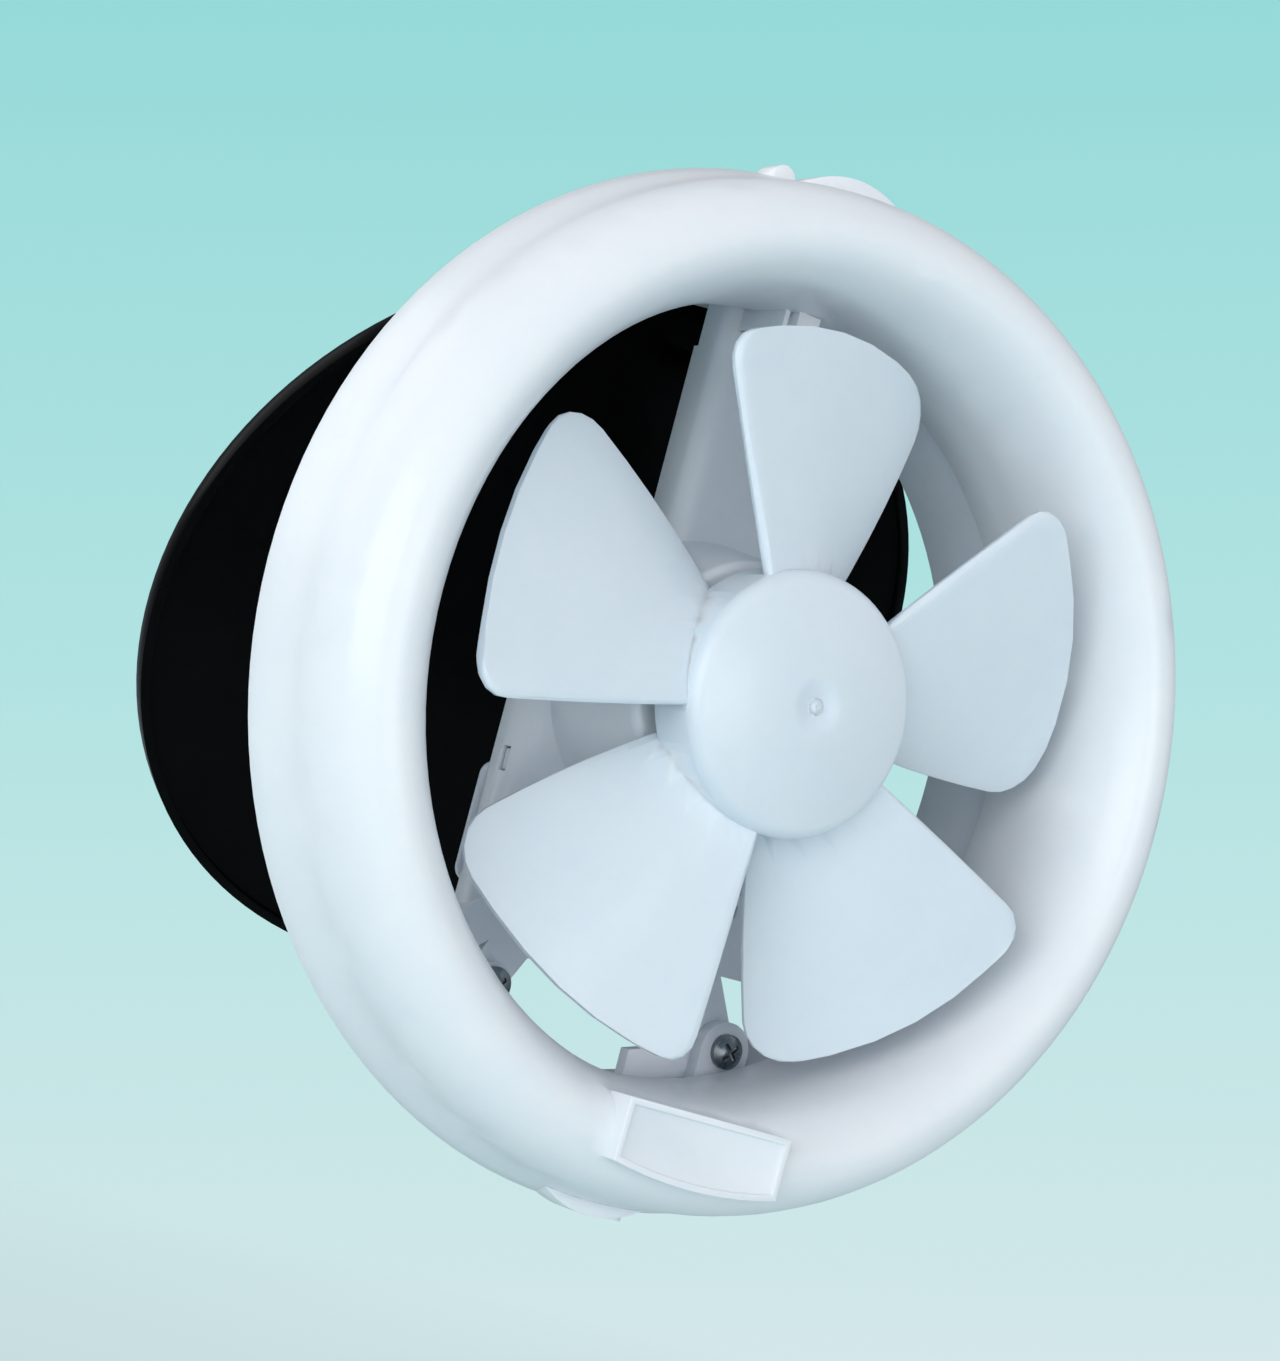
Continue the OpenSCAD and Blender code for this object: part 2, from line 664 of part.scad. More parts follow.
module motor_bracket() color([0.92, 0.95, 0.97]) difference() {
    union() {
        intersection() {
            union() {
                difference() {
                    bracket_body(0, bracket_back);
                    bracket_body(bracket_wall, bracket_back + over);
                }
                both_sides() lever_cheek();
                // legs, with a web at the right foot and a conduit for the leads at the left one
                difference() {
                    union() {
                        y_slab(bracket_y, bracket_y + leg_t) {
                            leg_outline(screw_places[0]);
                            leg_outline(screw_places[1]);
                            polygon([[web_x, -bore_r], [web_x, -web_z],
                                [right_screw_x - foot_r, -right_screw_z],
                                [right_screw_x, -right_screw_z], [right_screw_x, -bore_r]]);
                        }
                        y_slab(bracket_y, bracket_back) polygon([[-box_half_w + box_round, -lead_z],
                            [-box_half_w + box_round - lead_reach, -lead_z - lead_reach],
                            [-box_half_w + box_round - lead_reach, -lead_z - lead_reach - lead_w],
                            [-leg_top_x - leg_half_w, -lead_low], [-leg_top_x - leg_half_w, -lead_z]]);
                    }
                    bracket_body(bracket_wall, bracket_back + over);
                }
            }
            y_cyl(arm_fit_r, -cup_front - over, 2 * bracket_back);
        }
        // seat of the front bearing, and posts under the stator
        y_cyl(bearing_r + bearing_boss_t, -cup_front, bearing_front_y + bearing_w);
        both_sides() at_face(stator_screw_pcd, 0)
            y_cyl(stator_screw_head_r, -cup_front + bracket_wall / 2, stator_y);
    }
    y_cyl(bearing_r + press, bearing_front_y, bearing_front_y + bearing_w + over);
    y_cyl(shaft_r + over, -cup_front - over, bearing_front_y + over);
    both_sides() at_face(stator_screw_pcd, 0)
        y_cyl(stator_screw_r + press, stator_y - stator_screw_grip, stator_y + over);
    for (p = screw_places) at_face(p[0], p[1]) y_cyl(screw_r + press, bracket_y - over, bracket_back);
    translate([0, lever_y, lever_z])
        x_cyl(hinge_pin_r + press, -cheek_in - 2 * cheek_t, cheek_in + 2 * cheek_t);
    vents(bracket_y - over, bracket_back);
    both_sides() translate([box_half_w - 2 * bracket_wall, snap_y, -snap_z])
        cube([4 * bracket_wall, snap_w, snap_h]);
    // the arm's walls step down at the top
    both_sides() translate([arm_half_w - 2 * bracket_wall, bracket_back - arm_step, arm_step_z])
        cube([4 * bracket_wall, 2 * arm_step, bore_r - arm_step_z]);
}

// Outline of the rear cover in [x, z]: the lower box and the motor
module cover_outline(w) {
    circle(r = cup_r - w);
    box_outline(w);
}

module bracket_rear_cover() color([0.88, 0.91, 0.93]) difference() {
    union() {
        difference() {
            union() {
                y_slab(bracket_back, bracket_back + cover_t) cover_outline(cover_rim);
                y_slab(bracket_back, cover_back) cover_outline(cover_inset);
                both_sides() y_slab(bracket_back, bracket_back + cover_t) side_strip();
            }
            y_slab(bracket_back - over, cover_back - cover_t) cover_outline(cover_inset + cover_t);
        }
        y_cyl(bearing_r + bearing_boss_t, rear_bearing_back - rear_bearing_w, rear_bearing_back + over / 2);
        // hooks that snap into the bracket's side windows
        both_sides() translate([box_half_w - cover_inset - cover_t, snap_y + gap, -snap_z + gap]) {
            cube([snap_hook, bracket_back + cover_t - snap_y - gap, snap_h - 2 * gap]);
            cube([cover_inset + cover_t - bracket_wall / 2, snap_w - 2 * gap, snap_h - 2 * gap]);
        }
    }
    y_cyl(bearing_r + press, rear_bearing_back - rear_bearing_w - over, rear_bearing_back);
    vents(bracket_back, cover_back + over);
}

// Rounded strip that the rear cover shows beside the lower box
module side_strip() {
    for (z = [strip_top + strip_r, strip_bottom - strip_r])
        translate([box_half_w + strip_lap - strip_r, -z]) circle(r = strip_r);
    translate([box_half_w + strip_lap - 2 * strip_r, -strip_bottom + strip_r])
        square([2 * strip_r, strip_bottom - strip_top - 2 * strip_r]);
}

// The two cross-head screws that show
module bracket_screws() color([0.55, 0.57, 0.6])
    for (p = screw_places) at_face(p[0], p[1]) difference() {
    union() {
        y_cyl(screw_r, tongue_y - screw_head_h / 2, bracket_y + leg_t);
        translate([0, tongue_y, 0]) intersection() {
            y_cyl(screw_head_r, -screw_head_h, 0);
            translate([0, screw_head_r, 0]) sphere(r = screw_head_r + screw_head_h);
        }
    }
    for (a = [45, -45]) at_angle(a)
        translate([-recess_w / 2, tongue_y - screw_head_h - over, -screw_head_r * recess_share])
            cube([recess_w, over + screw_head_h / 2, 2 * screw_head_r * recess_share]);
}

// Four-pole stator stack
module stator_core() color([0.45, 0.46, 0.48]) difference() {
    union() {
        difference() {
            y_cyl(stator_r, stator_y, stator_y + stack_len);
            y_cyl(stator_r - yoke_w + pole_shoe_t, stator_y - over, stator_y + stack_len + over);
        }
        for (i = [0:pole_count - 1]) at_angle((i + 0.5) * 360 / pole_count) {
            translate([-pole_w / 2, stator_y, rotor_r + air_gap + pole_shoe_t / 2])
                cube([pole_w, stack_len, stator_r - rotor_r - air_gap - pole_shoe_t]);
            y_slab(stator_y, stator_y + stack_len) intersection() {
                difference() {
                    circle(r = rotor_r + air_gap + pole_shoe_t);
                    circle(r = rotor_r + air_gap);
                }
                polygon([[0, 0], for (t = [-pole_shoe_half:pole_shoe_half / 2:pole_shoe_half])
                    [2 * rotor_r * sin(t), 2 * rotor_r * cos(t)]]);
            }
        }
    }
    y_cyl(rotor_r + air_gap, stator_y - over, stator_y + stack_len + over);
    both_sides() at_face(stator_screw_pcd, 0)
        y_cyl(stator_screw_r + play, stator_y - over, stator_y + stack_len + over);
}

// Windings round the four poles
module stator_coils() color([0.72, 0.42, 0.2])
    for (i = [0:pole_count - 1]) at_angle((i + 0.5) * 360 / pole_count)
    translate([0, stator_y, rotor_r + air_gap + pole_shoe_t + coil_gap]) difference() {
        translate([-pole_w / 2 - coil_t, -coil_over, 0])
            cube([pole_w + 2 * coil_t, stack_len + 2 * coil_over, coil_height()]);
        translate([-pole_w / 2 - coil_gap, -coil_gap, -over])
            cube([pole_w + 2 * coil_gap, stack_len + 2 * coil_gap, coil_height() + 2 * over]);
    }
function coil_height() = sqrt(pow(stator_r - yoke_w + pole_shoe_t, 2) - pow(pole_w / 2 + coil_t, 2))
    - rotor_r - air_gap - pole_shoe_t - 2 * coil_gap;

module stator_screws() color([0.6, 0.62, 0.64]) both_sides() at_face(stator_screw_pcd, 0) {
    y_cyl(stator_screw_r, stator_y - stator_screw_grip, stator_y + stack_len + stator_screw_head_h / 2);
    y_cyl(stator_screw_head_r, stator_y + stack_len, stator_y + stack_len + stator_screw_head_h);
}

module bearing(y0, w) difference() {
    y_cyl(bearing_r, y0, y0 + w);
    y_cyl(shaft_r + play, y0 - over, y0 + w + over);
}
module front_bearing() color([0.7, 0.6, 0.42]) bearing(bearing_front_y, bearing_w);
module rear_bearing() color([0.7, 0.6, 0.42]) bearing(rear_bearing_back - rear_bearing_w, rear_bearing_w);

// Terminal block on the inside of the lower box
block_y = bracket_y + bracket_wall;
module terminal_block() color([0.86, 0.86, 0.82]) difference() {
    translate([-block_w / 2, block_y, -block_z - block_h]) cube([block_w, block_t, block_h]);
    for (s = [-1, 1]) {
        at_face(s * block_pole_x, -block_z - block_h / 2)
            y_cyl(block_screw_r + play, block_y + block_t - 2 * block_screw_h, block_y + block_t + over);
        translate([s * block_pole_x - block_slot_w / 2, block_y + bracket_wall, -block_z - block_h - over])
            cube([block_slot_w, block_slot_h, block_h / 3 + over]);
    }
}
module terminal_screws() color([0.75, 0.65, 0.4]) for (s = [-1, 1])
    at_face(s * block_pole_x, -block_z - block_h / 2)
        y_cyl(block_screw_r, block_y + block_t - 2 * block_screw_h, block_y + block_t - block_screw_h);

// Impeller blade: the two edges, then the skin between them
function share(a, b, s) = a + (b - a) * s;
function span(r) = (r - hub_r) / (blade_tip_r - hub_r);
function corner_cut(r, c) =
    r > blade_tip_r - c ? c - sqrt(max(0, c * c - pow(r - blade_tip_r + c, 2))) : 0;
function arc_angle(len, r) = len / r * 180 / PI;
function full_lead(r) = share(lead_root_angle, lead_tip_angle, span(r));
function full_trail(r) = share(trail_root_angle, trail_tip_angle, span(r));
function blade_y(r, s) = share(share(lead_root_y, lead_tip_y, span(r)),
    share(trail_root_y, trail_tip_y, span(r)), s) - blade_camber * 4 * s * (1 - s);
function blade_point(r, j, side) = let (
    full_a = full_lead(r),
    full_b = full_trail(r),
    a = share(full_a + arc_angle(corner_cut(r, lead_corner), r),
        full_b - arc_angle(corner_cut(r, trail_corner), r), chord_shares[j]),
    s = (a - full_a) / (full_b - full_a))
    [r * sin(a), blade_y(r, s) + side * blade_t * thick_shares[j] / 2, r * cos(a)];
blade_radii = concat(
    [for (i = [0:span_steps]) share(blade_root_r, blade_corner_r, i / span_steps)],
    [for (i = [1:corner_steps])
        blade_corner_r + (blade_tip_r - blade_corner_r) * sin(90 * i / corner_steps)]);
chord_n = len(chord_shares);
ring_n = 2 * chord_n;

module blade() {
    rows = len(blade_radii);
    skin = [for (r = blade_radii) for (j = [0:ring_n - 1])
        j < chord_n ? blade_point(r, j, -1) : blade_point(r, ring_n - 1 - j, 1)];
    walls = [for (i = [0:rows - 2]) for (j = [0:ring_n - 1]) for (f = [0, 1])
        let (p = i * ring_n + j, q = i * ring_n + (j + 1) % ring_n)
        f == 0 ? [p, p + ring_n, q] : [q, p + ring_n, q + ring_n]];
    inner = [for (j = [0:chord_n - 2]) for (f = [0, 1])
        f == 0 ? [j, j + 1, ring_n - 1 - j] : [j + 1, ring_n - 2 - j, ring_n - 1 - j]];
    shift = (rows - 1) * ring_n;
    outer = [for (t = inner) [t[0] + shift, t[2] + shift, t[1] + shift]];
    polyhedron(skin, concat(walls, inner, outer), convexity = 4);
}

// Hub's outside in [radius, y], drawn in by w: side, shoulder and a domed front that meets it smoothly
dome_run = asin((hub_r - hub_round) / (hub_dome_r - hub_round));
dome_y = -hub_front + hub_dome_r;
shoulder_y = dome_y - (hub_dome_r - hub_round) * cos(dome_run);
function hub_outside(w, r_in) = let (t_in = asin(r_in / (hub_dome_r - w))) concat(
    [[hub_r - w, -hub_back]],
    oval([hub_r - hub_round, shoulder_y],
        hub_round - w, hub_round - w, 0, dome_run - 90),
    [for (i = [1:curve_n / 2]) let (t = share(dome_run, t_in, 2 * i / curve_n))
        [(hub_dome_r - w) * sin(t), dome_y - (hub_dome_r - w) * cos(t)]]);

// Shallow dish at the centre of the front
dish_rise = dimple_depth - hub_dome_r + sqrt(hub_dome_r * hub_dome_r - dimple_r * dimple_r);
dish_r = (dimple_r * dimple_r + dish_rise * dish_rise) / (2 * dish_rise);
dish_y = -hub_front + dimple_depth - dish_r;
dish_run = asin(dimple_r / dish_r);
function hub_dish() = [for (i = [1:curve_n / 2]) let (t = share(dish_run, 0, 2 * i / curve_n))
    [dish_r * sin(t), dish_y + dish_r * cos(t)]];

module impeller() color([0.86, 0.91, 0.96, 0.95]) difference() {
    union() {
        difference() {
            y_turn() polygon(concat(hub_outside(0, dimple_r), hub_dish(), [[0, -hub_back]]));
            y_turn() polygon(concat([[hub_r - hub_wall, -hub_back + over]],
                hub_outside(hub_wall, 0), [[0, -hub_back + over]]));
        }
        for (i = [0:blade_count - 1]) at_angle(i * 360 / blade_count) difference() {
            blade();
            y_cyl(hub_r - hub_wall / 2, -hub_front, 0);
        }
        y_cyl(hub_boss_r, -hub_front + hub_wall * boss_root_share, -hub_boss_back);
        // gate mark in the dish
        y_cyl(gate_r, -hub_front + dimple_depth - gate_h, -hub_front + hub_wall * boss_root_share);
        for (i = [0:hub_rib_count - 1]) at_angle(i * 360 / hub_rib_count)
            translate([-hub_rib_t / 2, shoulder_y + over, 0])
                cube([hub_rib_t, hub_rib_depth, hub_r - hub_wall / 2]);
    }
    y_cyl(insert_r, -insert_back - insert_len, -hub_boss_back + over);
}

module hub_insert() color([0.8, 0.66, 0.36]) difference() {
    y_cyl(insert_r, -insert_back - insert_len, -insert_back);
    y_cyl(shaft_r, -shaft_front, -insert_back + over);
}

module motor_shaft() color([0.7, 0.72, 0.74]) y_cyl(shaft_r, -shaft_front, shaft_back);

module rotor_core() color([0.4, 0.41, 0.43]) difference() {
    y_cyl(rotor_r, stator_y, stator_y + stack_len);
    y_cyl(shaft_r, stator_y - over, stator_y + stack_len + over);
}

// Aluminium end rings of the rotor, with their fins
module rotor_cage() color([0.78, 0.8, 0.82])
    for (y0 = [stator_y - cage_end, stator_y + stack_len]) difference() {
        y_cyl(cage_r, y0, y0 + cage_end);
        y_cyl(shaft_r + washer_t, y0 - over, y0 + cage_end + over);
    }

module thrust_washers() color([0.2, 0.2, 0.22])
    for (y0 = [-cup_front - washer_t, stator_y - cage_end - washer_t]) difference() {
        y_cyl(washer_r, y0, y0 + washer_t);
        y_cyl(shaft_r, y0 - over, y0 + washer_t + over);
    }

// Turn about a hinge at [y, z], opening the shutter
module swung(y, z, a) translate([0, y, z]) rotate([a, 0, 0]) translate([0, -y, -z]) children();

module shutter_shut() difference() {
    union() {
        at_face(0, shutter_drop) {
            y_cyl(shutter_r, plate_front, plate_front + shutter_t);
            difference() {
                y_cyl(shutter_r, plate_front - shutter_lip, plate_front + shutter_t / 2);
                y_cyl(shutter_r - shutter_rim_t, plate_front - shutter_lip - over, plate_front + shutter_t);
                // beside the hinge the rim would meet the spigot as it swings
                translate([-lip_notch_half, plate_front - shutter_lip - over, lip_notch_z])
                    cube([2 * lip_notch_half, shutter_lip + shutter_t + 2 * over, shutter_r]);
            }
        }
        // lug that the link pulls
        x_slab(lug_in, lug_in + lug_t) {
            translate([hinge_y + link_eye_y, hinge_z + link_eye_z]) circle(r = eye_r);
            translate([hinge_y + link_eye_y, hinge_z + link_eye_z - eye_r])
                square([-link_eye_y - hinge_set - shutter_t / 2, 2 * eye_r]);
        }
        barrel_block();
    }
    difference() {
        translate([-notch_half, plate_front - shutter_lip - over, notch_z])
            cube([2 * notch_half, shutter_t + shutter_lip + 2 * over, hinge_z]);
        barrel_block();
    }
    translate([0, hinge_y, hinge_z]) x_cyl(hinge_pin_r + play, -barrel_half - over, barrel_half + over);
    translate([0, hinge_y + link_eye_y, hinge_z + link_eye_z])
        x_cyl(link_pin_r + lug_slack, lug_in - over, lug_in + lug_t + over);
}

// Hinge barrel with the web that joins it to the plate
module barrel_block() {
    translate([0, hinge_y, hinge_z]) x_cyl(barrel_r, -barrel_half, barrel_half);
    x_slab(-barrel_half, barrel_half)
        polygon([[plate_front, notch_z - over], [plate_front + shutter_t, notch_z - over],
            [hinge_y + barrel_r - shutter_t / 2, hinge_z], [hinge_y - barrel_r + shutter_t / 2, hinge_z]]);
}

module shutter_disc() color([0.04, 0.04, 0.045]) swung(hinge_y, hinge_z, open_angle) shutter_shut();

module hinge_pin() color([0.62, 0.64, 0.66]) translate([0, hinge_y, hinge_z])
    x_cyl(hinge_pin_r, -ear_in - ear_t, ear_in + ear_t);

module lever_pin() color([0.62, 0.64, 0.66]) translate([0, lever_y, lever_z])
    x_cyl(hinge_pin_r, -cheek_in - cheek_t, cheek_in + cheek_t);

// Lever: a sleeve on its pin, the arm that carries the link and the crank that the plunger moves
module shutter_lever() color([0.75, 0.78, 0.8]) swung(lever_y, lever_z, open_angle)
    translate([0, lever_y, lever_z]) difference() {
        union() {
            x_slab(-lever_half, lever_half) hull() {
                circle(r = eye_r, $fn = 32);
                translate([link_eye_y, link_eye_z]) circle(r = eye_r, $fn = 32);
            }
            x_cyl(sleeve_r, -cheek_in + gap, cheek_in - gap);
            x_slab(-crank_out, -crank_in) hull() {
                circle(r = eye_r, $fn = 32);
                translate(crank_r * [-cos(open_angle / 2), sin(open_angle / 2)])
                    circle(r = crank_tip_r, $fn = 32);
            }
            translate([0, -crank_r * cos(open_angle / 2), crank_r * sin(open_angle / 2)])
                x_cyl(crank_pin_r, -crank_out - crank_pin_len, -crank_in - crank_t / 2);
        }
        x_cyl(hinge_pin_r + play, -cheek_in, cheek_in);
        translate([0, link_eye_y, link_eye_z])
            x_cyl(link_pin_r + play, -lever_half - over, lever_half + over);
    }

// Where the lever's far eye stands with the shutter open
open_eye = [link_eye_y * cos(open_angle) - link_eye_z * sin(open_angle),
    link_eye_y * sin(open_angle) + link_eye_z * cos(open_angle)];
lever_eye = [lever_y, lever_z] + open_eye;
lug_eye = [hinge_y, hinge_z] + open_eye;

module shutter_link() color([0.75, 0.78, 0.8]) difference() {
    x_slab(link_in, link_in + link_t) hull() {
        translate(lever_eye) circle(r = eye_r);
        translate(lug_eye) circle(r = eye_r);
    }
    for (p = [lever_eye, lug_eye]) translate([0, p[0], p[1]])
        x_cyl(link_pin_r, link_in - over, link_in + link_t + over);
}

module link_pins() color([0.62, 0.64, 0.66]) {
    translate([0, lever_eye[0], lever_eye[1]]) {
        x_cyl(link_pin_r, -lever_half, link_in + link_t);
        x_cyl(eye_r - gap, link_in + link_t, link_in + link_t + gap);
    }
    translate([0, lug_eye[0], lug_eye[1]]) x_cyl(link_pin_r, link_in, lug_in + lug_t);
}

// Solenoid that opens the shutter, drawn with its plunger pulled in
module solenoid_yoke() color([0.58, 0.6, 0.62]) difference() {
    translate([plunger_x - yoke_half_x, plunger_y - coil_r - yoke_t, coil_low - yoke_t])
        cube([2 * yoke_half_x, 2 * coil_r + yoke_t, coil_high - coil_low + 2 * yoke_t]);
    translate([plunger_x - yoke_half_x - over, plunger_y - coil_r, coil_low])
        cube([2 * (yoke_half_x + over), 2 * coil_r + over, coil_high - coil_low]);
    translate([plunger_x, plunger_y, coil_low + over]) cylinder(r = plunger_r + gap, h = coil_high);
}

module solenoid_coil() color([0.75, 0.3, 0.15]) translate([plunger_x, plunger_y, coil_low]) difference() {
    cylinder(r = coil_r - gap / 2, h = coil_high - coil_low);
    translate([0, 0, -over]) cylinder(r = plunger_r + play, h = coil_high);
}

// The crank's pin rides in the slot across the plunger's head
plunger_head_z = lever_z - crank_r * sin(open_angle / 2);
module solenoid_plunger() color([0.66, 0.68, 0.7]) difference() {
    union() {
        translate([plunger_x, plunger_y, coil_low + gap])
            cylinder(r = plunger_r, h = plunger_head_z - coil_low - gap - plunger_eye_half / 2);
        x_slab(-crank_out - crank_pin_len, -crank_out - gap)
            translate([plunger_y - plunger_eye_half, plunger_head_z - plunger_eye_half])
                square(2 * plunger_eye_half);
    }
    x_slab(plunger_x - 2 * plunger_r, -crank_out)
        translate([plunger_y - crank_pin_r - eye_slack, plunger_head_z - crank_pin_r - play])
            square([2 * (crank_pin_r + eye_slack), 2 * (crank_pin_r + play)]);
}

orifice_ring();
mounting_frame();
glass_gasket();
ring_catches();
glass_clamps();
clamp_screws();
cable_grommet();
motor_bracket();
bracket_rear_cover();
bracket_screws();
stator_core();
stator_coils();
stator_screws();
front_bearing();
rear_bearing();
terminal_block();
terminal_screws();
solenoid_yoke();
solenoid_coil();
lever_pin();
hinge_pin();
impeller();
hub_insert();
motor_shaft();
rotor_core();
rotor_cage();
thrust_washers();
shutter_disc();
shutter_lever();
shutter_link();
link_pins();
solenoid_plunger();
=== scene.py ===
import json
import math
import bpy
from mathutils import Matrix, Vector

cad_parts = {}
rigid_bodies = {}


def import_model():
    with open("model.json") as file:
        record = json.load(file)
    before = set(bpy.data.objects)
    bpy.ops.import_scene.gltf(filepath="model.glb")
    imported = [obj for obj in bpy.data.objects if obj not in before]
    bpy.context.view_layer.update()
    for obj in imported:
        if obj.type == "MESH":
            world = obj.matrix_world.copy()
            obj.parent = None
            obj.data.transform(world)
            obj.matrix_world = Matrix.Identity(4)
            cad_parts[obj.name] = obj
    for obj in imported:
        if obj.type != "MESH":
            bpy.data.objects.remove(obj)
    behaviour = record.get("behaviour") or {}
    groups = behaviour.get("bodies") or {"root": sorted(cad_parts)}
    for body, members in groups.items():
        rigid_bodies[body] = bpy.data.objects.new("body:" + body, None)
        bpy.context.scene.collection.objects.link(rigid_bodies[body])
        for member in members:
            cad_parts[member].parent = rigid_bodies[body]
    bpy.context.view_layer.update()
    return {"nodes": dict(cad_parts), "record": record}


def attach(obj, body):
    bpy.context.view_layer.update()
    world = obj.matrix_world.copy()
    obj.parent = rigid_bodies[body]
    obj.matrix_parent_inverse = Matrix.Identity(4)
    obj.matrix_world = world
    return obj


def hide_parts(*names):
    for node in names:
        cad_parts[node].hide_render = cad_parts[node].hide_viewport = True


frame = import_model()
nodes = frame["nodes"]


mm = 0.001
bodyOf = {name: body for body, names in frame["record"]["behaviour"]["bodies"].items() for name in names}
slotOf = {row["node"]: row["material_slot"] for row in frame["record"]["subparts"]}


def clearSelection():
    if bpy.context.mode != "OBJECT":
        bpy.ops.object.mode_set(mode="OBJECT")
    for item in bpy.context.scene.objects:
        item.select_set(False)


def pick(piece):
    clearSelection()
    piece.select_set(True)
    bpy.context.view_layer.objects.active = piece


def applyModifiers(piece):
    pick(piece)
    for name in [m.name for m in piece.modifiers]:
        bpy.ops.object.modifier_apply(modifier=name)


def selectFrontFaces(piece, front, reach):
    # leaves edit mode on, with just the faces selected that lie before front and near the fan's axis
    pick(piece)
    bpy.ops.object.mode_set(mode="EDIT")
    bpy.ops.mesh.select_mode(type="FACE")
    bpy.ops.mesh.select_all(action="DESELECT")
    bpy.ops.object.mode_set(mode="OBJECT")
    for face in piece.data.polygons:
        middle = face.center
        face.select = middle.y < front and math.hypot(middle.x, middle.z) < reach
    bpy.ops.object.mode_set(mode="EDIT")


def settle(piece, node, material):
    # place goes into the mesh, then the piece joins the body and slot of its node
    pick(piece)
    bpy.ops.object.transform_apply(location=True, rotation=True, scale=True)
    piece.data.materials.clear()
    piece.data.materials.append(material)
    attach(piece, bodyOf[node])
    return piece


def newMaterial(name, values):
    material = bpy.data.materials.new(name)
    material.use_nodes = True
    shader = material.node_tree.nodes["Principled BSDF"]
    for socket, value in values.items():
        shader.inputs[socket].default_value = value
    return material, material.node_tree, shader


def linear(r, g, b):
    # a colour as it looks on screen, 0 to 255, made linear
    out = []
    for v in (r, g, b):
        v = v / 255
        out.append(v / 12.92 if v <= 0.04045 else ((v + 0.055) / 1.055) ** 2.4)
    return (*out, 1)


def noiseNode(tree, scale, detail=4.0, roughness=0.55, stretch=None):
    coords = tree.nodes.new("ShaderNodeTexCoord")
    noise = tree.nodes.new("ShaderNodeTexNoise")
    noise.inputs["Scale"].default_value = scale
    noise.inputs["Detail"].default_value = detail
    noise.inputs["Roughness"].default_value = roughness
    if stretch:
        mapping = tree.nodes.new("ShaderNodeMapping")
        mapping.inputs["Scale"].default_value = stretch
        tree.links.new(coords.outputs["Object"], mapping.inputs["Vector"])
        tree.links.new(mapping.outputs["Vector"], noise.inputs["Vector"])
    else:
        tree.links.new(coords.outputs["Object"], noise.inputs["Vector"])
    return noise


def waveNode(tree, scale, axis):
    coords = tree.nodes.new("ShaderNodeTexCoord")
    wave = tree.nodes.new("ShaderNodeTexWave")
    wave.bands_direction = axis
    wave.inputs["Scale"].default_value = scale
    tree.links.new(coords.outputs["Object"], wave.inputs["Vector"])
    return wave


def rampNode(tree, source, stops):
    ramp = tree.nodes.new("ShaderNodeValToRGB")
    tree.links.new(source, ramp.inputs["Fac"])
    while len(ramp.color_ramp.elements) < len(stops):
        ramp.color_ramp.elements.new(0.5)
    for element, (place, colour) in zip(ramp.color_ramp.elements, stops):
        element.position = place
        element.color = colour
    return ramp


noiseSpan = (0.3, 0.7)  # most of a noise's values lie between these


def cloudTones(tree, noise, deep, pale, span=noiseSpan):
    low, high = span
    return rampNode(tree, noise.outputs["Fac"], [(low, deep), (high, pale)])


def rangeNode(tree, source, low, high, fromLow=noiseSpan[0], fromHigh=noiseSpan[1]):
    remap = tree.nodes.new("ShaderNodeMapRange")
    tree.links.new(source, remap.inputs["Value"])
    remap.inputs["From Min"].default_value = fromLow
    remap.inputs["From Max"].default_value = fromHigh
    remap.inputs["To Min"].default_value = low
    remap.inputs["To Max"].default_value = high
    return remap


def toneAndGloss(tree, shader, tone, gloss):
    tree.links.new(tone, shader.inputs["Base Color"])
    tree.links.new(gloss.outputs["Result"], shader.inputs["Roughness"])


def bumpNode(tree, shader, heights, distance):
    # heights: list of (noise node, share), summed into one bump
    total = None
    for noise, share in heights:
        part = tree.nodes.new("ShaderNodeMath")
        part.operation = "MULTIPLY_ADD"
        tree.links.new(noise.outputs["Fac"], part.inputs[0])
        part.inputs[1].default_value = share
        part.inputs[2].default_value = 0
        if total is not None:
            tree.links.new(total, part.inputs[2])
        total = part.outputs[0]
    bump = tree.nodes.new("ShaderNodeBump")
    bump.inputs["Distance"].default_value = distance
    bump.inputs["Strength"].default_value = 1
    tree.links.new(total, bump.inputs["Height"])
    tree.links.new(bump.outputs["Normal"], shader.inputs["Normal"])


plastic = {  # noise scales are patches per metre
    "refraction": 1.5, "coatRoughness": 0.12,
    "glowReach": (0.004, 0.005, 0.006), "glowScale": 0.6,
    "driftScale": 70, "driftDetail": 6, "driftRoughness": 0.75,
    "flowScale": 24, "flowDetail": 1.5, "flowRoughness": 0.45, "flowStretch": (1, 0.35, 1),
    "glossLeast": 0.8, "glossMost": 1.25, "glossFrom": 0.1, "glossTo": 0.9,
    "dustScale": 900, "dustDetail": 2, "dustAmount": 0.07, "dustFrom": 0.68, "dustTo": 0.80, "dustTone": 0.62,
    "skinScale": 260, "skinDetail": 3, "skinShare": 0.3,
    "hairScale": 700, "hairDetail": 2, "hairRoughness": 0.5, "hairStretch": (1, 0.03, 0.25), "hairShare": 0.2,
}


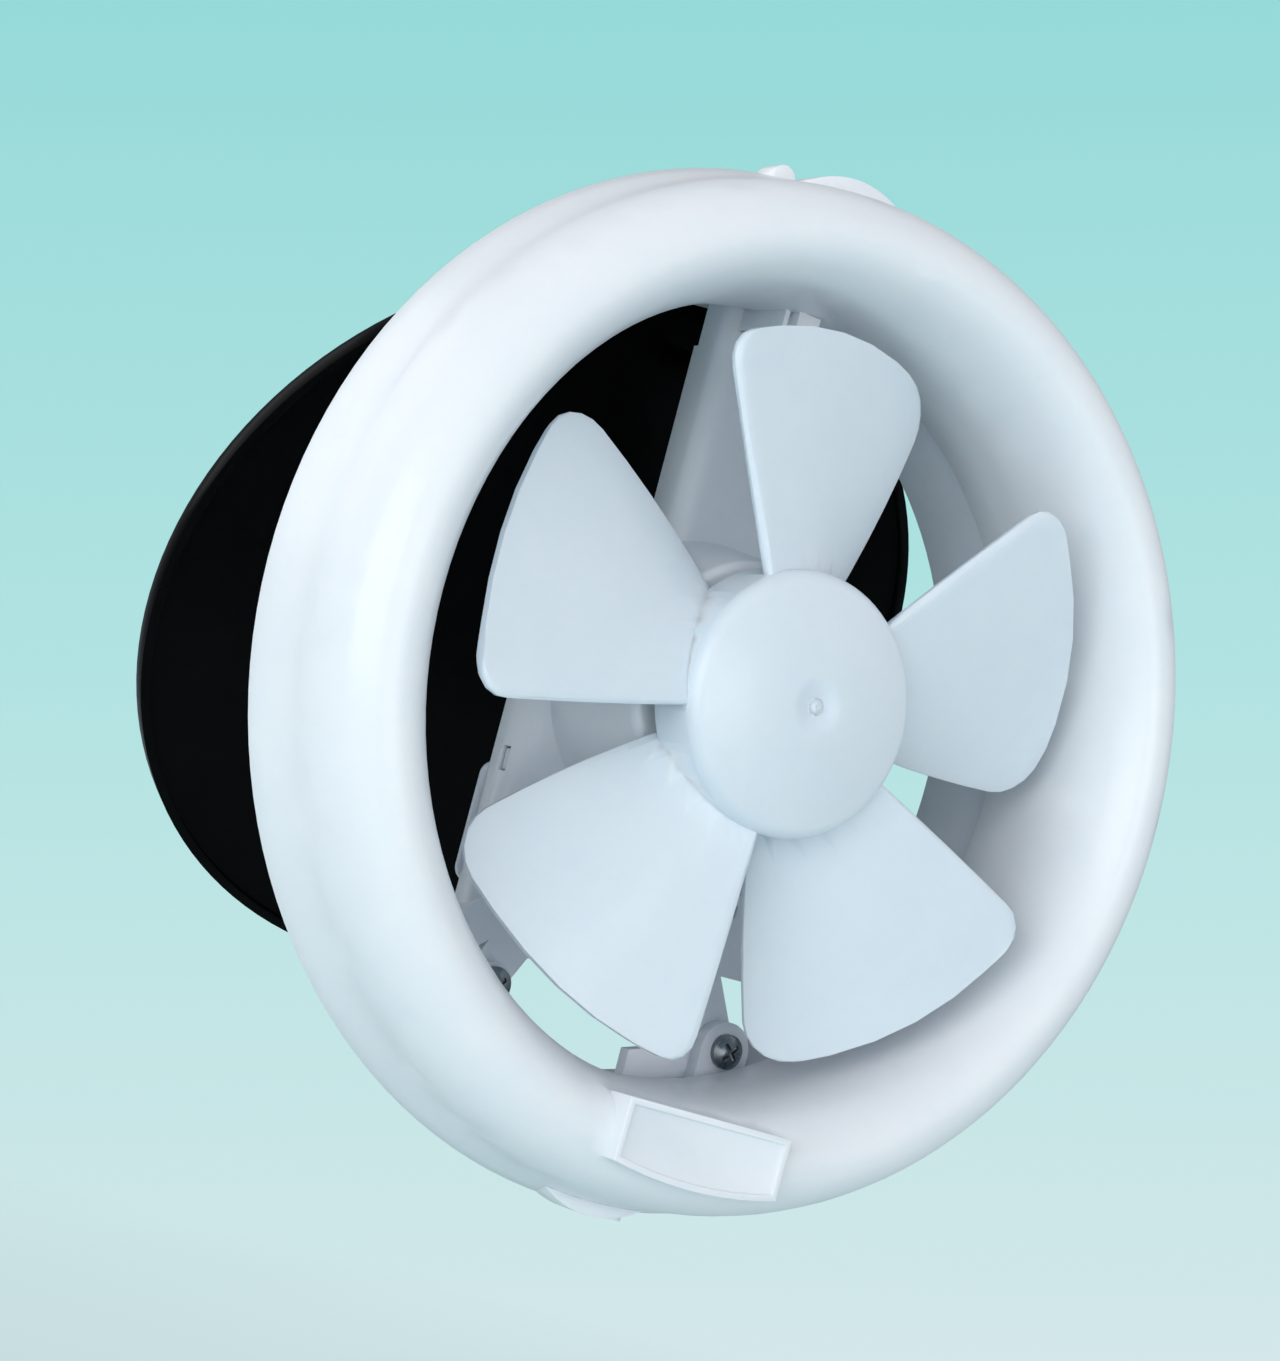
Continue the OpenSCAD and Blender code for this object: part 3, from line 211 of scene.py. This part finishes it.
def mouldedPlastic(name, pale, deep, roughness, glow=0.0, coat=0.0, scratchDepth=0.000008, specular=0.5,
                   flowShare=0.3):
    # injection moulded gloss: colour drift, faint flow marks, hair scratches and a trace of dust
    # the roughness with its spread stays above 0.28 or below 0.26: a spread across 0.27 shows faint outlines
    material, tree, shader = newMaterial(name, {
        "IOR": plastic["refraction"], "Specular IOR Level": specular, "Subsurface Weight": glow,
        "Subsurface Radius": plastic["glowReach"], "Subsurface Scale": plastic["glowScale"],
        "Coat Weight": coat, "Coat Roughness": plastic["coatRoughness"]})
    drift = noiseNode(tree, plastic["driftScale"], plastic["driftDetail"], plastic["driftRoughness"])
    flow = noiseNode(tree, plastic["flowScale"], plastic["flowDetail"], plastic["flowRoughness"],
                     plastic["flowStretch"])
    tone = cloudTones(tree, drift, deep, pale)
    dust = noiseNode(tree, plastic["dustScale"], plastic["dustDetail"])
    specks = rangeNode(tree, dust.outputs["Fac"], 0, plastic["dustAmount"],
                       plastic["dustFrom"], plastic["dustTo"])
    dusty = tree.nodes.new("ShaderNodeMix")
    dusty.data_type = "RGBA"
    tree.links.new(specks.outputs["Result"], dusty.inputs["Factor"])
    tree.links.new(tone.outputs["Color"], dusty.inputs["A"])
    dusty.inputs["B"].default_value = tuple(v * plastic["dustTone"] for v in deep[:3]) + (1,)
    gloss = rangeNode(tree, flow.outputs["Fac"], roughness * plastic["glossLeast"],
                      roughness * plastic["glossMost"], plastic["glossFrom"], plastic["glossTo"])
    toneAndGloss(tree, shader, dusty.outputs["Result"], gloss)
    skin = noiseNode(tree, plastic["skinScale"], plastic["skinDetail"])
    hair = noiseNode(tree, plastic["hairScale"], plastic["hairDetail"], plastic["hairRoughness"],
                     plastic["hairStretch"])
    bumpNode(tree, shader, [(skin, plastic["skinShare"]), (flow, flowShare), (hair, plastic["hairShare"])],
             scratchDepth)
    return material


metal = {"refraction": 1.5, "cloudScale": 180, "cloudDetail": 5, "grainDetail": 4, "grainRoughness": 0.6,
         "glossLeast": 0.7, "glossMost": 1.4}


def platedMetal(name, pale, deep, roughness, grainScale=500, stretch=(1, 1, 1), depth=0.00001):
    # cloudy plating over a fine grain, which stretch turns into grinding marks
    material, tree, shader = newMaterial(name, {"Metallic": 1.0, "IOR": metal["refraction"]})
    cloud = noiseNode(tree, metal["cloudScale"], metal["cloudDetail"])
    grain = noiseNode(tree, grainScale, metal["grainDetail"], metal["grainRoughness"], stretch)
    tone = cloudTones(tree, cloud, deep, pale)
    gloss = rangeNode(tree, grain.outputs["Fac"], roughness * metal["glossLeast"],
                      roughness * metal["glossMost"])
    toneAndGloss(tree, shader, tone.outputs["Color"], gloss)
    bumpNode(tree, shader, [(grain, 1.0)], depth)
    return material


rubber = {"refraction": 1.5, "specular": 0.3, "cloudScale": 60, "cloudDetail": 5, "cloudSpan": (0.35, 0.7),
          "grainScale": 1500, "grainDetail": 3, "glossy": 0.6, "dull": 0.85, "depth": 0.00003}


def mouldedRubber(name, pale, deep):
    material, tree, shader = newMaterial(name, {
        "IOR": rubber["refraction"], "Specular IOR Level": rubber["specular"]})
    cloud = noiseNode(tree, rubber["cloudScale"], rubber["cloudDetail"])
    grain = noiseNode(tree, rubber["grainScale"], rubber["grainDetail"])
    tone = cloudTones(tree, cloud, deep, pale, rubber["cloudSpan"])
    gloss = rangeNode(tree, grain.outputs["Fac"], rubber["glossy"], rubber["dull"])
    toneAndGloss(tree, shader, tone.outputs["Color"], gloss)
    bumpNode(tree, shader, [(grain, 1.0)], rubber["depth"])
    return material


wire = {"refraction": 1.5, "metallic": 0.85, "coat": 0.5, "coatRoughness": 0.2, "turnScale": 480,
        "wobble": 0.6, "wobbleDetail": 2,
        "turnTones": [(0.1, (0.16, 0.045, 0.015, 1)), (0.75, (0.62, 0.24, 0.085, 1))],
        "dull": 0.45, "glossy": 0.28, "depth": 0.00015}


def woundCopper(name, axis):
    # enamelled wire: fine turns side by side across the coil
    material, tree, shader = newMaterial(name, {
        "Metallic": wire["metallic"], "IOR": wire["refraction"], "Coat Weight": wire["coat"],
        "Coat Roughness": wire["coatRoughness"]})
    turns = waveNode(tree, wire["turnScale"], axis)
    turns.inputs["Distortion"].default_value = wire["wobble"]
    turns.inputs["Detail"].default_value = wire["wobbleDetail"]
    tone = rampNode(tree, turns.outputs["Fac"], wire["turnTones"])
    gloss = rangeNode(tree, turns.outputs["Fac"], wire["dull"], wire["glossy"], 0, 1)
    toneAndGloss(tree, shader, tone.outputs["Color"], gloss)
    bumpNode(tree, shader, [(turns, 1.0)], wire["depth"])
    return material


sheet = {"refraction": 1.5, "metallic": 0.9, "sheetScale": 320, "spotScale": 220, "spotDetail": 5,
         "spotTones": [(0.3, (0.10, 0.09, 0.085, 1)), (0.5, (0.24, 0.245, 0.26, 1)),
                       (0.8, (0.34, 0.35, 0.37, 1))],
         "dull": 0.55, "glossy": 0.35, "spotShare": 0.3, "depth": 0.00012}


def laminatedSteel(name):
    # thin sheets stacked along the fan's axis, their edges a little oily and spotted
    material, tree, shader = newMaterial(name, {"Metallic": sheet["metallic"], "IOR": sheet["refraction"]})
    sheets = waveNode(tree, sheet["sheetScale"], "Y")
    spots = noiseNode(tree, sheet["spotScale"], sheet["spotDetail"])
    tone = rampNode(tree, spots.outputs["Fac"], sheet["spotTones"])
    gloss = rangeNode(tree, spots.outputs["Fac"], sheet["dull"], sheet["glossy"])
    toneAndGloss(tree, shader, tone.outputs["Color"], gloss)
    bumpNode(tree, shader, [(sheets, 1.0), (spots, sheet["spotShare"])], sheet["depth"])
    return material


finishes = {
    "white_plastic": mouldedPlastic("ringWhite", linear(236, 241, 247), linear(231, 238, 246),
                                    roughness=0.36, glow=0.12, coat=0.2),
    "frame_plastic": mouldedPlastic("frameWhite", linear(222, 228, 236), linear(214, 221, 230),
                                    roughness=0.37, glow=0.1, coat=0.25),
    "blade_plastic": mouldedPlastic("bladeIce", linear(220, 232, 242), linear(215, 228, 240),
                                    roughness=0.37, glow=0.25, coat=0.35, flowShare=0.05),
    "black_plastic": mouldedPlastic("shutterBlack", linear(9, 9, 10), linear(6, 6, 7),
                                    roughness=0.2, scratchDepth=0.000005, specular=0.04),
    "gasket_rubber": mouldedRubber("gasketRubber", linear(62, 63, 65), linear(44, 45, 47)),
    "zinc_steel": platedMetal("zincPlate", linear(158, 164, 168), linear(94, 101, 105), roughness=0.3),
    "bright_steel": platedMetal("groundSteel", linear(205, 208, 210), linear(176, 180, 183),
                                roughness=0.2, grainScale=700, stretch=(1, 0.05, 1)),
    "laminated_steel": laminatedSteel("laminations"),
    "copper_winding": woundCopper("copperTurns", "Y"),
    "solenoidCopper": woundCopper("solenoidTurns", "Z"),
    "sintered_bronze": platedMetal("sinteredBronze", linear(196, 160, 104), linear(150, 116, 70),
                                   roughness=0.45, grainScale=1400),
    "cage_aluminium": platedMetal("castAluminium", linear(200, 203, 206), linear(164, 168, 172),
                                  roughness=0.4, grainScale=900),
}

for name, obj in nodes.items():
    obj.data.materials.clear()
    obj.data.materials.append(finishes["solenoidCopper" if name == "solenoid_coil" else slotOf[name]])
print("finishes ready", len(finishes))

gate = {  # the moulding's gate mark and the dish around it, in mm
    "radius": 1.25, "height": 0.75, "front": 33.75, "rings": 20, "around": 40,
    "tipDepth": 0.3, "tipRadius": 0.5, "tipRim": 0.08, "tipSink": 0.18,
    "dish": 5.4, "deeper": 0.55, "hubFace": 32, "cuts": 2}


def deepenDish(piece):
    # the moulded dish around the gate sinks a little more than in the plain solid
    reach = gate["dish"] * mm
    face = -gate["hubFace"] * mm
    selectFrontFaces(piece, face, reach)
    bpy.ops.mesh.subdivide(number_cuts=gate["cuts"])
    bpy.ops.object.mode_set(mode="OBJECT")
    for vertex in piece.data.vertices:
        away = math.hypot(vertex.co.x, vertex.co.z) / reach
        if vertex.co.y < face and away < 1:
            vertex.co.y += gate["deeper"] * mm * (1 - away ** 2) ** 2
    piece.data.update()


def evenShade(piece):
    # large faces set the shading, so slivers at the blade roots don't show
    weighted = piece.modifiers.new("evenShade", "WEIGHTED_NORMAL")
    weighted.mode = "FACE_AREA"
    weighted.keep_sharp = True
    applyModifiers(piece)


shells = {
    # node: piece name, edge radius (mm), edges sharper than this are rounded (degrees), smoothing angle
    "orifice_ring": ("orificeRingShell", 0.35, 40, 40),
    "mounting_frame": ("ductShell", 0.3, 40, 40),
    "ring_catches": ("rimCatches", 0.5, 40, 40),
    "motor_bracket": ("motorBracketShell", 0.4, 40, 40),
    "bracket_rear_cover": ("rearCoverShell", 0.4, 40, 40),
    "impeller": ("impellerShell", 0.0, 60, 33),
    "shutter_disc": ("shutterShell", 0.3, 40, 40),
    "bracket_screws": ("crossHeadScrews", 0.12, 30, 40),
    "glass_clamps": ("glassClaws", 0.4, 40, 40),
    "clamp_screws": ("clawScrews", 0.2, 40, 40),
    "glass_gasket": ("gasketRing", 0.3, 40, 40),
    "cable_grommet": ("cableGrommet", 0.3, 40, 40),
    "shutter_lever": ("leverArm", 0.15, 40, 40),
    "shutter_link": ("linkPlate", 0.15, 40, 40),
    "hinge_pin": ("hingePin", 0.2, 40, 40),
}
shellEdge = {"mergeGap": 0.005, "flatAngle": 0.3, "segments": 2}  # mm, degrees


def roundEdges(piece, width, segments, sharpAngle, smoothAngle):
    if width:
        bevel = piece.modifiers.new("edges", "BEVEL")
        bevel.width = width * mm
        bevel.segments = segments
        bevel.limit_method = "ANGLE"
        bevel.angle_limit = math.radians(sharpAngle)
        applyModifiers(piece)
    pick(piece)
    bpy.ops.object.shade_smooth_by_angle(angle=math.radians(smoothAngle))


def roundedShell(node, pieceName, edge, sharpAngle, smoothAngle):
    # merged copy of a node's mesh with rounded edges, shown in the node's place
    piece = bpy.data.objects.new(pieceName, nodes[node].data.copy())
    bpy.context.scene.collection.objects.link(piece)
    pick(piece)
    bpy.ops.object.mode_set(mode="EDIT")
    bpy.ops.mesh.select_all(action="SELECT")
    bpy.ops.mesh.remove_doubles(threshold=shellEdge["mergeGap"] * mm)
    bpy.ops.mesh.dissolve_limited(angle_limit=math.radians(shellEdge["flatAngle"]))
    bpy.ops.object.mode_set(mode="OBJECT")
    roundEdges(piece, edge, shellEdge["segments"], sharpAngle, smoothAngle)
    if node == "impeller":
        deepenDish(piece)
        evenShade(piece)
    settle(piece, node, finishes[slotOf[node]])
    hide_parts(node)
    return piece


shellPieces = [roundedShell(node, *row) for node, row in shells.items()]
print("moulded shells", {piece.name: len(piece.data.polygons) for piece in shellPieces})

latch = {
    "edge": 0.45, "segments": 3, "sharpAngle": 35, "smoothAngle": 40,
    "blocks": [  # x, y and z spans in mm: base, slim cheek, clip
        ((-10.6, -2.6), (-2.6, 9.6), (72.9, 77.2)),
        ((-10.6, -9.5), (-5.0, 9.6), (73.1, 77.2)),
        ((-7.9, -2.6), (-6.0, 9.6), (72.9, 77.4))]}


def latchBlock(spans):
    bpy.ops.mesh.primitive_cube_add(size=1, location=[(low + high) / 2 * mm for low, high in spans])
    piece = bpy.context.object
    piece.name = "armLatch"
    piece.scale = [(high - low) * mm for low, high in spans]
    bpy.ops.object.transform_apply(location=True, rotation=True, scale=True)
    return piece


def armLatch():
    # finger at the top of the bracket's arm that reaches into the throat, with a slot beside its clip
    clearSelection()
    piece, *others = [latchBlock(spans) for spans in latch["blocks"]]
    for other in others:
        union = piece.modifiers.new("join", "BOOLEAN")
        union.operation = "UNION"
        union.object = other
        applyModifiers(piece)
        bpy.data.objects.remove(other)
    roundEdges(piece, latch["edge"], latch["segments"], latch["sharpAngle"], latch["smoothAngle"])
    return settle(piece, "motor_bracket", finishes["white_plastic"])


armLatch()
print("clip on the arm")


def gateNub():
    # rounded stub that the moulding leaves at the centre of the hub's dish, its tip sunk a little
    clearSelection()
    bpy.ops.mesh.primitive_uv_sphere_add(segments=gate["around"], ring_count=gate["rings"],
                                         radius=gate["radius"] * mm)
    piece = bpy.context.object
    piece.name = "gateNub"
    piece.scale = (1, gate["height"] / gate["radius"], 1)
    piece.location = (0, -(gate["front"] - gate["height"]) * mm, 0)
    bpy.ops.object.transform_apply(location=True, rotation=True, scale=True)
    selectFrontFaces(piece, -(gate["front"] - gate["tipDepth"]) * mm, gate["tipRadius"] * mm)
    bpy.ops.mesh.inset(thickness=gate["tipRim"] * mm, depth=-gate["tipSink"] * mm)
    bpy.ops.object.mode_set(mode="OBJECT")
    bpy.ops.object.shade_smooth()
    return settle(piece, "impeller", finishes["blade_plastic"])


gateNub()
print("gate nub on the hub")

ground = {  # metres
    "height": -0.34, "size": 40.0, "clearFrom": 1.2, "clearTo": 2.2, "cloudScale": 3,
    "deep": linear(203, 227, 230), "pale": linear(206, 230, 233), "glow": linear(206, 229, 231),
    "glowShare": 0.8, "roughness": 0.9, "specular": 0.1}


def layFloor():
    bpy.ops.mesh.primitive_plane_add(size=ground["size"], location=(0, 0, ground["height"]))
    floor = bpy.context.object
    floor.name = "floorPlane"
    material, tree, shader = newMaterial("paleFloor", {
        "Roughness": ground["roughness"], "Specular IOR Level": ground["specular"]})
    tone = cloudTones(tree, noiseNode(tree, ground["cloudScale"]), ground["deep"], ground["pale"])
    tree.links.new(tone.outputs["Color"], shader.inputs["Base Color"])
    # the camera sees the floor mostly in its own tone, with some of the fan's shadow
    glow = tree.nodes.new("ShaderNodeEmission")
    glow.inputs["Color"].default_value = ground["glow"]
    path = tree.nodes.new("ShaderNodeLightPath")
    share = tree.nodes.new("ShaderNodeMath")
    share.operation = "MULTIPLY"
    tree.links.new(path.outputs["Is Camera Ray"], share.inputs[0])
    share.inputs[1].default_value = ground["glowShare"]
    lit = tree.nodes.new("ShaderNodeMixShader")
    tree.links.new(share.outputs["Value"], lit.inputs["Fac"])
    tree.links.new(shader.outputs["BSDF"], lit.inputs[1])
    tree.links.new(glow.outputs["Emission"], lit.inputs[2])
    # far from the fan the floor lets the backdrop through
    coords = tree.nodes.new("ShaderNodeTexCoord")
    away = tree.nodes.new("ShaderNodeVectorMath")
    away.operation = "LENGTH"
    tree.links.new(coords.outputs["Object"], away.inputs[0])
    fade = rangeNode(tree, away.outputs["Value"], 0, 1, ground["clearFrom"], ground["clearTo"])
    clear = tree.nodes.new("ShaderNodeBsdfTransparent")
    out = tree.nodes.new("ShaderNodeMixShader")
    tree.links.new(fade.outputs["Result"], out.inputs["Fac"])
    tree.links.new(lit.outputs["Shader"], out.inputs[1])
    tree.links.new(clear.outputs["BSDF"], out.inputs[2])
    tree.links.new(out.outputs["Shader"], tree.nodes["Material Output"].inputs["Surface"])
    floor.data.materials.append(material)


layFloor()

sky = {
    # the backdrop's gradient runs along the photo's tilted up direction
    "up": (-0.260, 0.065, 0.963), "span": (-0.2, 0.2),
    "tones": [(0.0, linear(211, 231, 234)), (0.27, linear(194, 229, 229)), (0.5, linear(178, 227, 226)),
              (1.0, linear(150, 218, 217))],
    "mirrorSpan": (-0.5, 0.6), "mirrorLow": linear(168, 176, 192), "mirrorTop": linear(232, 240, 248),
    "mirrorStrength": 0.45, "fill": (0.97, 0.98, 1.0, 1), "fillStrength": 0.53}


def hangBackdrop():
    # camera and glass see the gradient, gloss mirrors a plain room, and the rest is soft fill light
    world = bpy.data.worlds.new("studioAir")
    bpy.context.scene.world = world
    world.use_nodes = True
    air = world.node_tree
    air.nodes.clear()
    coords = air.nodes.new("ShaderNodeTexCoord")
    tilt = air.nodes.new("ShaderNodeVectorMath")
    tilt.operation = "DOT_PRODUCT"
    tilt.inputs[1].default_value = sky["up"]
    air.links.new(coords.outputs["Generated"], tilt.inputs[0])
    height = rangeNode(air, tilt.outputs["Value"], 0, 1, *sky["span"])
    tones = rampNode(air, height.outputs["Result"], sky["tones"])
    seen = air.nodes.new("ShaderNodeBackground")
    air.links.new(tones.outputs["Color"], seen.inputs["Color"])
    split = air.nodes.new("ShaderNodeSeparateXYZ")
    air.links.new(coords.outputs["Generated"], split.inputs["Vector"])
    level = rangeNode(air, split.outputs["Z"], 0, 1, *sky["mirrorSpan"])
    mirrorTones = rampNode(air, level.outputs["Result"], [(0.0, sky["mirrorLow"]), (1.0, sky["mirrorTop"])])
    mirror = air.nodes.new("ShaderNodeBackground")
    air.links.new(mirrorTones.outputs["Color"], mirror.inputs["Color"])
    mirror.inputs["Strength"].default_value = sky["mirrorStrength"]
    fill = air.nodes.new("ShaderNodeBackground")
    fill.inputs["Color"].default_value = sky["fill"]
    fill.inputs["Strength"].default_value = sky["fillStrength"]
    path = air.nodes.new("ShaderNodeLightPath")
    mix = fill.outputs["Background"]
    for ray, source in (("Is Glossy Ray", mirror), ("Is Transmission Ray", seen), ("Is Camera Ray", seen)):
        step = air.nodes.new("ShaderNodeMixShader")
        air.links.new(path.outputs[ray], step.inputs["Fac"])
        air.links.new(mix, step.inputs[1])
        air.links.new(source.outputs["Background"], step.inputs[2])
        mix = step.outputs["Shader"]
    out = air.nodes.new("ShaderNodeOutputWorld")
    air.links.new(mix, out.inputs["Surface"])


hangBackdrop()

lamps = {
    # name: place and size in metres, watts, colour
    "sideLamp": ((-1.7, -1.0, -0.1), 1.8, 26.0, (1.0, 0.99, 0.985)),
    "frontLamp": ((-0.2, -1.9, -0.1), 1.2, 10.0, (1.0, 0.99, 0.985)),
    "rightLamp": ((1.8, -1.0, 0.7), 1.5, 1.8, (0.98, 0.99, 1.0)),
    "backLamp": ((-1.2, 1.2, 0.8), 1.2, 6.2, (0.98, 0.99, 1.0)),
    "topLamp": ((0.2, 0.3, 1.8), 1.4, 1.2, (0.98, 0.99, 1.0)),
}


def hangLamp(name, place, size, watts, colour):
    # square soft lamp that faces the fan
    lamp = bpy.data.lights.new(name, "AREA")
    lamp.shape = "SQUARE"
    lamp.size = size
    lamp.energy = watts
    lamp.color = colour
    holder = bpy.data.objects.new(name, lamp)
    bpy.context.scene.collection.objects.link(holder)
    holder.location = place
    holder.rotation_euler = (-Vector(place)).to_track_quat("-Z", "Y").to_euler()


for name, row in lamps.items():
    hangLamp(name, *row)
print("floor, backdrop and lamps set")

photoView = {  # degrees and metres, the aim's offsets in mm, the lens in the photo's pixels
    "azimuth": -33.49, "elevation": -5.31, "roll": 14.64, "distance": 0.65, "nearest": 0.01, "farthest": 100,
    "acrossMm": -15.33, "upMm": 2.9, "focalPixels": 3262.5, "imageHeight": 1361, "sensorHeight": 36}


def placeCamera():
    az, el, roll = (math.radians(photoView[key]) for key in ("azimuth", "elevation", "roll"))
    back = Vector((math.sin(az) * math.cos(el), -math.cos(az) * math.cos(el), math.sin(el)))
    right = (-back).cross(Vector((0, 0, 1))).normalized()
    up = right.cross(-back)
    tiltRight = math.cos(roll) * right + math.sin(roll) * up
    tiltUp = -math.sin(roll) * right + math.cos(roll) * up
    aimPoint = (tiltRight * photoView["acrossMm"] + tiltUp * photoView["upMm"]) * mm
    turn = Matrix((tiltRight, tiltUp, back)).transposed().to_4x4()
    lens = bpy.data.cameras.new("photoView")
    lens.sensor_fit = "VERTICAL"
    lens.sensor_height = photoView["sensorHeight"]
    lens.lens = photoView["sensorHeight"] * photoView["focalPixels"] / photoView["imageHeight"]
    lens.clip_start = photoView["nearest"]
    lens.clip_end = photoView["farthest"]
    camera = bpy.data.objects.new("photoView", lens)
    bpy.context.scene.collection.objects.link(camera)
    camera.matrix_world = Matrix.Translation(aimPoint + back * photoView["distance"]) @ turn
    bpy.context.scene.camera = camera


placeCamera()
bpy.context.scene.view_settings.view_transform = "Standard"
print("camera set")
